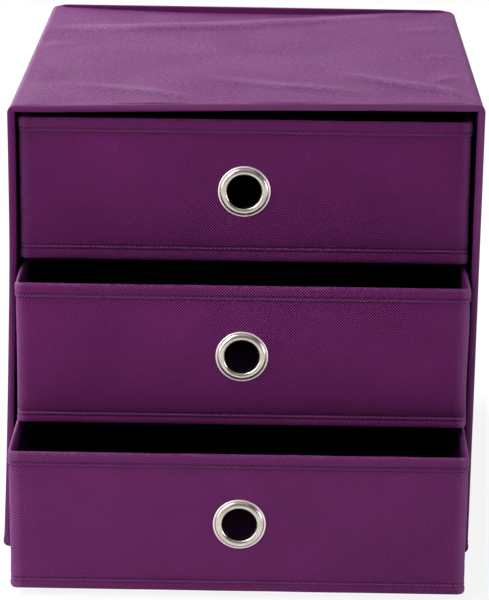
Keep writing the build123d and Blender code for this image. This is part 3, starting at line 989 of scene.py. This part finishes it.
# five panels inside the casing, from behind the front binding
def makeLinings():
    slack, setBack = 0.22 * mm, 2.2 * mm
    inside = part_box("right_lining")[0].x
    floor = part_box("base_lining")[1].z
    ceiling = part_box("back_lining")[1].z
    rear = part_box("back_lining")[0].y
    fore = frontEdge + setBack
    deep = rear - fore
    tall = ceiling - floor
    panels = {
        "left": ((-inside, fore, floor), (0, 1, 0), (0, 0, 1), deep, tall),
        "right": ((inside, rear, floor), (0, -1, 0), (0, 0, 1), deep, tall),
        "back": ((-inside, rear, floor), (1, 0, 0), (0, 0, 1), 2 * inside, tall),
        "base": ((-inside, fore, floor), (1, 0, 0), (0, 1, 0), 2 * inside, deep),
        "top": ((inside, fore, ceiling), (-1, 0, 0), (0, 1, 0), 2 * inside, deep),
    }
    for order, (side, (start, across, along, wide, long)) in enumerate(panels.items()):
        loose = 0 if side == "base" else slack      # a drawer slides on the base
        points, flat, closed = panelPatch(start, across, along, wide, long, 40 + order, loose)
        if side == "top":
            points[..., 2] -= sagAt(points, inside)
        panel = meshFrom(side + "Lining", [(outOfTrue(points), flat, closed)], liningCloth)
        sewOn(panel, "casing", [side + "_lining"], clothThick)


shelf = {"wave": 0.35 * mm, "clothShare": 0.9, "flapCell": 4 * mm}


# a sleeve over each shelf board, with a flap sewn down each wall
def makeShelfSleeves():
    for level, seed in (("lower", 61), ("upper", 62)):
        low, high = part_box(level + "_shelf_cover")
        boardLow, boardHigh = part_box(level + "_shelf_board")
        thick = boardHigh.z - boardLow.z + 2 * clothThick
        under = high.z - thick
        nose = thick / 2
        xs = np.linspace(low.x, high.x, 60)
        arcs = np.linspace(-math.pi / 2, math.pi / 2, 9)
        rows = [(y, under) for y in np.linspace(high.y, low.y + nose, 34)]
        rows += [(low.y + nose - nose * math.cos(a), under + nose + nose * math.sin(a)) for a in arcs[1:-1]]
        rows += [(y, high.z) for y in np.linspace(low.y + nose, high.y, 34)]
        grid = np.array([[(x, y, z) for x in xs] for y, z in rows])
        lengths = lengthsAlong(rows)
        soft = ease(np.minimum(xs - low.x, high.x - xs), 0, 20 * mm)
        wave = shelf["wave"] * ripple(xs, 0, 60 * mm, seed) * soft
        grid[..., 1] += wave * (grid[..., 1] < low.y + 3 * nose)
        patches = [(grid, gridOf(xs, lengths), False)]
        deep = high.y - low.y
        tall = under - low.z
        corners = (((low.x + clothThick, low.y, low.z), 1), ((high.x - clothThick, high.y, low.z), -1))
        for start, heading in corners:
            patches.append(panelPatch(start, (0, heading, 0), (0, 0, 1), deep, tall, seed, 0.0,
                                      shelf["flapCell"]))
        patches = [(outOfTrue(points), flat, closed) for points, flat, closed in patches]
        sleeve = meshFrom(level + "ShelfSleeve", patches, liningCloth)
        sewOn(sleeve, "casing", [level + "_shelf_cover"],
              clothThick * shelf["clothShare"])


# the left and top stiffeners bend with the cloth on them
def makeBentBoards():
    step = 12 * mm
    low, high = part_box("left_board")
    points, flat, closed = panelPatch((low.x, high.y, low.z), (0, -1, 0), (0, 0, 1), high.y - low.y,
                                      high.z - low.z, 70, 0.0, step)
    fixBoard("leftBoard", (outOfTrue(points), flat, closed), high.x - low.x, "casing", "left_board")
    low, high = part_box("top_board")
    points, flat, closed = panelPatch((low.x, low.y, high.z), (1, 0, 0), (0, 1, 0), high.x - low.x,
                                      high.y - low.y, 71, 0.0, step)
    points[..., 2] -= sagAt(points, high.x)
    thick = high.z - low.z - casing["sag"]
    fixBoard("topBoard", (outOfTrue(points), flat, closed), thick, "casing", "top_board")
    print("left and top boards bent")


makeBentBoards()
makeCasingWrap()
makeBackCloth()
makeFrontBinding()
makeFootBand()
makeBaseCloth()
makeLinings()
makeShelfSleeves()
print("casing cloth sewn")


tray = {
    "corner": 4.0 * mm,         # of the upright edges
    "thinner": 1.2 * mm,        # side walls than front and back, by their boards
    "cell": 3.8 * mm,           # of the walls' mesh, about
    "levels": 12,               # rows of cells above the eyelet's middle, and below it
    "holeCells": 6,             # from there to the sides of the block cut for the hole
    "outerHole": 12.3 * mm,     # radius in the outer cloth and in the lining
    "innerHole": 12.6 * mm,
    "slack": 0.30 * mm,         # of the outer cloth: in waves, and all over
    "slackAll": 0.10 * mm,
    "floorSway": 0.25 * mm,     # of the lining on the floor
    "roll": 0.62 * mm,          # of the wall over the foot's seam
    "highlightEdge": (6.0 * mm, 2.0 * mm),   # in from the upright edges, where the painted highlight starts and where it is full
    # how high the painted shade above the feet reaches
    "footShadeHeight": 9 * mm,
}
rim = {
    "stitchDown": 7.0,          # millimetres, as the next three: stitches below the rim's top
    "puff": 1.15,
    "inside": 0.65,
    "groove": 0.22,
    "bandHighlight": 0.07,           # painted highlight below the stitches
    # painted shade in the stitch groove
    "grooveShade": 0.75,
    "edgeShade": 0.8,           # painted shadow on the wall just under the rim
    "lapShade": 0.65,           # painted shade on the lap inside the drawer
    "stitchOut": 0.06,          # millimetres, from the bottom of the groove
    "pucker": 0.05 * mm,
    "wander": 0.10 * mm,
    "rise": 0.12 * mm,
}
footFold = {
    "puff": 1.10,               # millimetres, as the next one
    "crease": 0.05,
    "stitchOut": 0.55 * mm,
    "pucker": 0.12 * mm,
    "wander": 0.12 * mm,
    # painted shade in the crease below the foot's stitches
    "shade": 0.7,
}
# footStitch and spread are in millimetres: up to the foot's stitches, and the left front corner's bulge;
# the pairs are for left and right: painted highlight on the upright edges, painted shade above the foot and
# painted shade over the whole wall; the single number is painted light over the whole wall
drawers = {
    "top_drawer": {"label": "topDrawer", "footStitch": 9.4, "spread": 0.0, "seed": 101,
                   "paintedLight": (0.14, 0.22), "paintedFootShade": (0.12, 0.28), "dark": (0.05, 0.11), "paintedLightAll": 0.0},
    "middle_drawer": {"label": "middleDrawer", "footStitch": 7.2, "spread": 0.0, "seed": 202,
                      "paintedLight": (0.14, 0.26), "paintedFootShade": (0.46, 0.85), "dark": (0.0, 0.0), "paintedLightAll": 0.0},
    "bottom_drawer": {"label": "bottomDrawer", "footStitch": 7.2, "spread": 2.4, "seed": 303,
                      "paintedLight": (0.14, 0.22), "paintedFootShade": (0.0, 0.0), "dark": (0.0, 0.0), "paintedLightAll": 0.032},
}


# grid round a hole: from the edge of a square of cells in to a circle
def holePatch(total, cell, radius, heightAt, place, facing):
    span = tray["holeCells"]
    marks = np.arange(-span, span)
    side = np.full(2 * span, span)
    square = np.concatenate([
        np.column_stack([marks, -side]), np.column_stack([side, marks]),
        np.column_stack([-marks, side]), np.column_stack([-side, -marks]),
    ]) * cell
    if facing < 0:
        square = square[::-1]
    angle = np.arctan2(square[:, 1], square[:, 0])
    circle = radius * np.column_stack([np.cos(angle), np.sin(angle)])
    shares = np.linspace(0, 1, 9) ** 0.8
    rows = np.array([square + (circle - square) * share for share in shares])
    points = place(rows[..., 0], rows[..., 1])
    closed = np.concatenate([rows, rows[:, :1]], 1)
    flat = np.stack([closed[..., 0] + total / 2, closed[..., 1] + heightAt], -1)
    return points, flat, True


# an open tray of cloth over boards, with a bound rim, a rolled foot and a hole for its eyelet
def makeDrawer(body, look):
    label, seed = look["label"], look["seed"]
    low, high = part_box(body + "_wall_cover")
    rimLow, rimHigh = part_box(body + "_rim_binding")
    footLow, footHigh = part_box(body + "_base_cover")
    liningLow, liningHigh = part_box(body + "_lining")
    eyeLow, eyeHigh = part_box(body + "_eyelet")
    half = ((high.x - low.x) / 2, (high.y - low.y) / 2)
    corner, thinner = tray["corner"], tray["thinner"]
    centre = np.array([0.0, (low.y + high.y) / 2, 0.0])
    total = loopLength(half, corner)
    wall = (high.x - liningHigh.x) + clothThick      # cloth, board and lining together
    eye = (eyeLow.z + eyeHigh.z) / 2
    flange = (eyeHigh.x - eyeLow.x) / 2
    seam = footLow.z + look["footStitch"] * mm

    # the left wall bulges at its front, with all that is sewn to it
    def bulge(points):
        x, y = points[..., 0], points[..., 1]
        fore = 1 - ease(y, low.y + 60 * mm, high.y - 60 * mm)
        bulged = points.copy()
        bulged[..., 0] -= look["spread"] * mm * fore * ease(-x, 90 * mm, high.x)
        return bulged

    def sideShare(outward):
        return ease(np.abs(outward[:, 0]), 0.4, 1.0)

    def wallAt(outward):
        return wall - thinner * sideShare(outward)

    def leftToRight(pair, x):
        return pair[0] + (pair[1] - pair[0]) * np.clip(x / half[0] / 2 + 0.5, 0, 1)

    # painted highlight on the upright edges, and painted light over the whole wall, where a drawer has it
    def edgeHighlight(x, y, z):
        start, full = tray["highlightEdge"]
        side = ease(np.abs(x), half[0] - start, half[0] - full)
        end = ease(np.abs(y - centre[1]), half[1] - start, half[1] - full)
        return look["paintedLightAll"] + leftToRight(look["paintedLight"], x) * side * end

    # walls have square cells, so that the eyelet's hole can be cut from a block of them
    columns = loopColumns(half, corner, tray["cell"], 8)
    cell = (half[0] - corner) / round((half[0] - corner) / tray["cell"])
    byFoot = seam + np.array([0.9, 1.3, 1.8, 2.4, 3.2, 4.2]) * mm
    byRim = rimLow.z - np.array([-0.1, 0.3, 0.7, 1.1, 1.6]) * mm
    levels = eye + cell * np.arange(-tray["levels"], tray["levels"] + 1)
    heights = np.sort(np.concatenate([levels, byFoot, byRim]))
    across = np.append(columns, total)
    fromEye = np.abs((heights[:-1] + heights[1:]) / 2 - eye)
    fromMiddle = np.abs((across[:-1] + across[1:]) / 2 - total / 2)
    block = tray["holeCells"] * cell
    cut = (fromEye < block)[:, None] & (fromMiddle < block)[None, :]

    # stitches round the rim and the foot, with two columns of their meshes to each
    count = round(total / stitch["pitch"])
    pitch = total / count
    fine = total * np.arange(2 * count) / (2 * count)
    places = pitch * (np.arange(count) + 0.5)

    def slackAt(u, z):
        clear = ease(np.hypot(u - total / 2, z - eye), flange - 1 * mm, flange + 26 * mm)
        band = ease(np.minimum(z - low.z, high.z - z), 8 * mm, 20 * mm)
        loose = tray["slack"] * (1 + ripple(u, z, 100 * mm, seed)) + tray["slackAll"]
        rise = ease(z, seam + 0.9 * mm, seam + 2.2 * mm)
        fall = ease(z, seam + 2.6 * mm, seam + 16 * mm)
        return loose * clear * band + tray["roll"] * rise * (1 - fall)

    def wallGrid(offset, slack):
        points, outward = loopAt(half, corner, columns)
        rows = []
        for z in heights:
            ring = points + (offset(outward) + slack * slackAt(columns, z))[:, None] * outward
            rows.append(atHeight(ring, z))
        return np.array(rows) + centre

    # thin side boards that bend with the cloth
    def bendBoards():
        names = []
        for side, heading in (("Left", -1), ("Right", 1)):
            node = body + "_" + side.lower() + "_board"
            near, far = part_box(node)
            start = (near.x, far.y, near.z) if heading < 0 else (far.x, near.y, near.z)
            points, flat, closed = panelPatch(start, (0, heading, 0), (0, 0, 1), far.y - near.y,
                                              far.z - near.z - 0.4 * mm, seed, 0.0, 12 * mm)
            thick = far.x - near.x - thinner
            board = fixBoard(label + side + "Board", (bulge(points), flat, closed), thick, body, node)
            names.append(board.name)
        return names

    def sewWalls(boards):
        def place(a, b):
            return np.stack([a, centre[1] - half[1] - slackAt(a + total / 2, b + eye), b + eye], -1)

        # painted shadow just under the rim, painted shade in the foot's crease, and painted shade above the
        # foot and over the whole wall
        def shade(x, y, z):
            above = rim["edgeShade"] * (1 - ease(rimLow.z - z, 0.3 * mm, 1.2 * mm))
            below = footFold["shade"] * (1 - ease(z - seam, 0.9 * mm, 2.0 * mm))
            paintedFootShade = leftToRight(look["paintedFootShade"], x) * np.exp(-np.maximum(z - seam, 0) / tray["footShadeHeight"])
            return np.maximum(np.maximum(above, below), paintedFootShade + leftToRight(look["dark"], x))

        flat = gridOf(across, heights)
        hole = holePatch(total, cell, tray["outerHole"], eye, place, 1)
        grid = bulge(wallGrid(lambda outward: 0.0, 1.0))
        walls = meshFrom(label + "Walls", [(grid, flat, True, cut), hole], coverCloth)
        mark(walls, "paintedHighlight", edgeHighlight)
        mark(walls, "paintedShade", shade)
        sewOn(walls, body, [body + "_wall_cover"],
              clothThick)

    # from under the rim down the walls and over the floor
    def sewLining():
        def place(a, b):
            return np.stack([a, centre[1] - half[1] + wall + 0 * a, b + eye], -1)

        floor = liningLow.z + clothThick
        points, outward = loopAt(half, corner, columns)
        bends = []
        for inward, up in ((0.05, 0.75), (0.3, 0.25), (0.8, 0.03)):
            ring = points - (wallAt(outward) + inward * mm)[:, None] * outward
            bends.append(atHeight(ring, floor + up * mm) + centre)
        shares = np.array([1.0, 0.985, 0.95, 0.85, 0.7, 0.5, 0.25, 0.0])
        base = floorRows(bends[-1], np.array([0.0, centre[1], floor]), shares)
        sway = tray["floorSway"] * (1 + ripple(base[..., 0], base[..., 1], 100 * mm, seed + 7))
        base[..., 2] = floor + sway * ease(1 - shares, 0.0, 0.2)[:, None]
        sides = wallGrid(lambda outward: -wallAt(outward), 0.0)[::-1]
        sides = np.concatenate([sides, np.array(bends[:-1]), base[:1]])
        downs = np.concatenate([heights[::-1], heights[0] - np.array([1.0, 1.6, 2.2]) * mm])
        sidesFlat = gridOf(across, downs)
        sidesCut = np.zeros((len(sides) - 1, len(columns)), bool)
        sidesCut[:len(heights) - 1] = cut[::-1]
        hole = holePatch(total, cell, tray["innerHole"], eye, place, -1)
        patches = [(bulge(sides), sidesFlat, True, sidesCut), (bulge(base), flatFloor(base), True), hole]
        lining = meshFrom(label + "Lining", patches, liningCloth)
        sewOn(lining, body, [body + "_lining"], clothThick)

    # puffed strip over the rim, sewn through just above its lower edges
    def sewRim():
        tall = (rimHigh.z - rimLow.z) / mm
        s, g = rim["stitchDown"], rim["groove"]
        puff, inside = rim["puff"], rim["inside"]
        row = rimHigh.z - s * mm
        threadOut = (g + rim["stitchOut"]) * mm

        # one side of the fold, from its lower edge up to its bend
        def upSide(p, bend):
            return [(0.05, -tall + 0.15, 0.1), (0.6, -tall, 0.2), (p - 0.06, -tall + 0.3, 0.3),
                    (p, -tall + 0.65, 0.4), (p - 0.22, -s - 1.2, 0.6), (g + 0.15, -s - 0.2, 0.9),
                    (g, -s, 1.0), (g + 0.25, -s + 0.2, 0.9), (p - 0.3, -s + 0.9, 0.7),
                    (p - 0.05, -s + 1.9, 0.3), (p, -s + 3.0, 0.1), (p - 0.03, -3.0, 0),
                    (p - 0.06 * bend, -2.3, 0), (p - 0.17 * bend, -1.55, 0), (p - 0.34 * bend, -0.9, 0),
                    (p - 0.56 * bend, -0.42, 0), (p - 0.80 * bend, -0.12, 0)]

        # the fold over a wall w thick, from its lower edge outside to its lower edge inside
        def foldOver(w):
            bend = (puff + w + inside) / 2
            down = [(-w - out, up, -pull) for out, up, pull in reversed(upSide(inside, bend))]
            fold = upSide(puff, bend) + [((puff - w - inside) / 2, 0.0, 0)] + down
            return [(out * mm, up * mm, pull) for out, up, pull in fold]

        # painted highlight on the upright edges and on the band below the stitches
        def paintedLight(x, y, z):
            below = rim["bandHighlight"] * (1 - ease(z - row, -0.9 * mm, -0.3 * mm))
            return np.maximum(edgeHighlight(x, y, z), below)

        # painted shade in the stitch groove and on the lap inside
        def shade(x, y, z):
            groove = rim["grooveShade"] * np.exp(-((z - row) / (0.32 * mm)) ** 2)
            deepX = ease(half[0] - np.abs(x), wall - thinner - 0.9 * mm, wall - thinner + 0.3 * mm)
            deepY = ease(half[1] - np.abs(y - centre[1]), wall - 0.6 * mm, wall + 0.3 * mm)
            return np.maximum(groove, rim["lapShade"] * deepX * deepY)

        profile = foldOver(wall / mm)
        sideProfile = foldOver((wall - thinner) / mm)
        pucker = rim["pucker"] * np.cos(math.tau * fine / pitch)
        drift = rim["wander"] * ripple(fine, 0, 45 * mm, seed + 1)
        lift = rim["rise"] * ripple(fine, 0, 70 * mm, seed + 2)
        grid = sweep(half, corner, fine, profile, pucker, drift, lift)
        atSide = sideShare(loopAt(half, corner, fine)[1])[:, None]
        grid += (sweep(half, corner, fine, sideProfile, pucker, drift, lift) - grid) * atSide
        grid = bulge(grid + centre + np.array([0, 0, rimHigh.z]))
        within = wallAt(loopAt(half, corner, places)[1])[:, None] + threadOut
        threads = [
            loopStitches(label + "RimStitches", half, corner, places, threadOut, row, centre, rimThread,
                         bulge),
            loopStitches(label + "InnerRimStitches", half, corner, places, -within, row, centre, rimThread,
                         bulge, True),
        ]
        strip = meshFrom(label + "Rim", [(grid, flatOf(fine, profile, total), True)], bindingCloth)
        mark(strip, "paintedHighlight", paintedLight)
        mark(strip, "paintedShade", shade)
        sewOn(strip, body, [body + "_rim_binding"], clothThick,
              threads)

    # the base cloth rolls up round the edge and is sewn along its upper part
    def sewFoot():
        s, p, c = look["footStitch"], footFold["puff"], footFold["crease"]
        top = max((footHigh.z - footLow.z) / mm, s + 1.3)
        roll = [(-3.9, 0.0, 0), (-1.8, 0.0, 0), (-0.8, 0.1, 0), (0.1, 0.45, 0), (0.6, 1.0, 0),
                (p - 0.08, 1.9, 0), (p, 2.9, 0.1), (p - 0.12, s - 3.0, 0.3), (p - 0.45, s - 2.3, 0.5),
                (c, s - 1.75, 0.6), (0.42, s - 1.25, 0.3), (0.50, s - 0.4, -0.3), (0.50, s + 0.15, -0.3),
                (0.36, s + 0.5, 0), (-0.1, top - 0.3, 0)]

        # painted shade in the crease below the stitches
        def shade(x, y, z):
            return footFold["shade"] * np.exp(-((z - seam + 1.75 * mm) / (0.5 * mm)) ** 2)

        profile = [(out * mm, up * mm, pull) for out, up, pull in roll]
        pucker = footFold["pucker"] * np.cos(math.tau * fine / pitch)
        drift = footFold["wander"] * ripple(fine, 0, 50 * mm, seed + 3)
        grid = sweep(half, corner, fine, profile, pucker, drift) + centre + np.array([0, 0, footLow.z])
        grid = bulge(grid)
        middle = np.array([0.0, centre[1], footLow.z])
        under = floorRows(grid[0], middle, [0.0, 0.3, 0.6, 0.85, 0.95, 1.0])
        threads = [loopStitches(label + "FootStitches", half, corner, places, footFold["stitchOut"], seam,
                                centre, footThread, bulge)]
        patches = [(under, flatFloor(under), True), (grid, flatOf(fine, profile, total), True)]
        base = meshFrom(label + "Foot", patches, coverCloth)
        mark(base, "paintedHighlight", edgeHighlight)
        mark(base, "paintedShade", shade)
        sewOn(base, body, [body + "_base_cover"], clothThick,
              threads)

    sewWalls(bendBoards())
    sewLining()
    sewRim()
    sewFoot()
    print(label, "sewn")


for body, look in drawers.items():
    makeDrawer(body, look)

# the other boards and the eyelets keep their CAD shape
finishes = {"_board": greyPulpBoard, "_eyelet": satinNickel, "_washer": washerPlate}
for name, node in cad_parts.items():
    for ending, finish in finishes.items():
        if name.endswith(ending):
            for place in node.material_slots:
                place.material = finish
print("boards and eyelets finished")


# floor: white to the camera and in reflections, less the object's shadow
studio = {
    "floorColour": (0.92, 0.92, 0.92, 1.0),
    "shadowShare": 0.13,
    "shadowReach": (0.5, 1.5),  # metres out to where the floor is plain white
    "sky": 0.34,                # of the white room, as light on the object
    "roomFront": 0.26,          # how bright the room in front is in reflections
    "roomFade": (-0.75, 0.0),
    "flagSide": (0.82, -0.27, 0.50),    # a dark flag hangs high on the right
    "flagFade": (0.80, 0.95),
    "flagDark": 0.8,
    "lampAim": (0.0, 0.0, 0.15),
    "floorSize": 14.0,
}


def seenRays(tree):
    path = addNode(tree, "ShaderNodeLightPath").outputs
    seen = calc(tree, "MAXIMUM", path["Is Camera Ray"], path["Is Glossy Ray"])
    return calc(tree, "MAXIMUM", seen, path["Is Transmission Ray"])


def makeFloor():
    side = studio["floorSize"] / 2
    mesh = bpy.data.meshes.new("studioFloor")
    corners = [(-side, -side, 0), (side, -side, 0), (side, side, 0), (-side, side, 0)]
    mesh.from_pydata(corners, [], [(0, 1, 2, 3)])
    floor = bpy.data.objects.new("studioFloor", mesh)
    scene.collection.objects.link(floor)
    material = bpy.data.materials.new("studioPaper")
    material.use_nodes = True
    tree = material.node_tree
    tree.nodes.clear()
    seen = seenRays(tree)
    tone = mixColours(tree, seen, studio["floorColour"], (1, 1, 1, 1))
    paper = addNode(tree, "ShaderNodeBsdfDiffuse", {"Color": tone})
    white = addNode(tree, "ShaderNodeEmission", {"Color": (1, 1, 1, 1), "Strength": 1.0})
    spot = addNode(tree, "ShaderNodeNewGeometry").outputs["Position"]
    out = vectorCalc(tree, "LENGTH", spot)["Value"]
    plain = remap(tree, out, *studio["shadowReach"], 1 - studio["shadowShare"], 1.0)
    share = calc(tree, "MULTIPLY", seen, plain)
    mix = addNode(tree, "ShaderNodeMixShader", {0: share, 1: paper.outputs[0], 2: white.outputs[0]})
    addNode(tree, "ShaderNodeOutputMaterial", {"Surface": mix.outputs[0]})
    mesh.materials.append(material)
    floor.location.z = -0.2 * mm        # just under the base cloth


# white all round for the camera; reflections see a dimmer room in front, where the camera stands
def makeRoom():
    world = bpy.data.worlds.new("whiteRoom")
    scene.world = world
    world.use_nodes = True
    tree = world.node_tree
    path = addNode(tree, "ShaderNodeLightPath").outputs
    sight = addNode(tree, "ShaderNodeTexCoord").outputs["Generated"]
    way = addNode(tree, "ShaderNodeSeparateXYZ", {0: sight}).outputs
    room = remap(tree, way["Y"], *studio["roomFade"], studio["roomFront"], 1.0)
    towards = vectorCalc(tree, "DOT_PRODUCT", sight, studio["flagSide"])["Value"]
    flag = remap(tree, towards, *studio["flagFade"], 1.0, 1.0 - studio["flagDark"])
    mirrored = calc(tree, "MAXIMUM", path["Is Glossy Ray"], path["Is Transmission Ray"])
    glow = calc(tree, "MULTIPLY", mirrored, calc(tree, "MULTIPLY", room, flag))
    seen = calc(tree, "MAXIMUM", path["Is Camera Ray"], glow)
    lit = calc(tree, "MULTIPLY", calc(tree, "SUBTRACT", 1.0, mirrored), studio["sky"])
    feed(tree, tree.nodes["Background"], {
        "Color": (1.0, 1.0, 1.0, 1.0),
        "Strength": calc(tree, "MAXIMUM", seen, lit),
    })


lamps = {                       # place, size, watts
    "keySoftbox": ((-1.6, -1.1, 1.4), 0.8, 22.0),
    "topSoftbox": ((-1.2, 0.1, 1.75), 1.2, 56.0),
    "rearSoftbox": ((-1.3, 1.6, 1.0), 0.8, 40.0),
    "leftSoftbox": ((-2.2, -0.7, 0.6), 1.0, 12.0),
    "rightSoftbox": ((2.2, -0.50, 0.35), 1.0, 20.0),
}


def makeLamps():
    for name, (place, size, watts) in lamps.items():
        lamp = bpy.data.lights.new(name, "AREA")
        lamp.shape = "SQUARE"
        lamp.size = size
        lamp.energy = watts
        holder = bpy.data.objects.new(name, lamp)
        aim = Vector(studio["lampAim"]) - Vector(place)
        holder.matrix_world = Matrix.Translation(place) @ aim.to_track_quat("-Z", "Y").to_matrix().to_4x4()
        scene.collection.objects.link(holder)


view = {
    "place": (0.0263, -1.7197, 0.7079),
    "dip": 18.495,              # degrees down, turned left and rolled
    "turn": 0.934,
    "roll": 0.521,
    "focalPixels": 2412.2,
    "tallPixels": 600,
}


def makeCamera():
    camera = bpy.data.cameras.new("photoCamera")
    camera.sensor_width = 36.0
    camera.lens = view["focalPixels"] / view["tallPixels"] * camera.sensor_width
    holder = bpy.data.objects.new("photoCamera", camera)
    aim = (Matrix.Rotation(math.radians(view["turn"]), 4, "Z")
           @ Matrix.Rotation(math.radians(90 - view["dip"]), 4, "X")
           @ Matrix.Rotation(math.radians(view["roll"]), 4, "Z"))
    holder.matrix_world = Matrix.Translation(view["place"]) @ aim
    scene.collection.objects.link(holder)
    scene.camera = holder


makeFloor()
makeRoom()
makeLamps()
makeCamera()
print("studio lit")
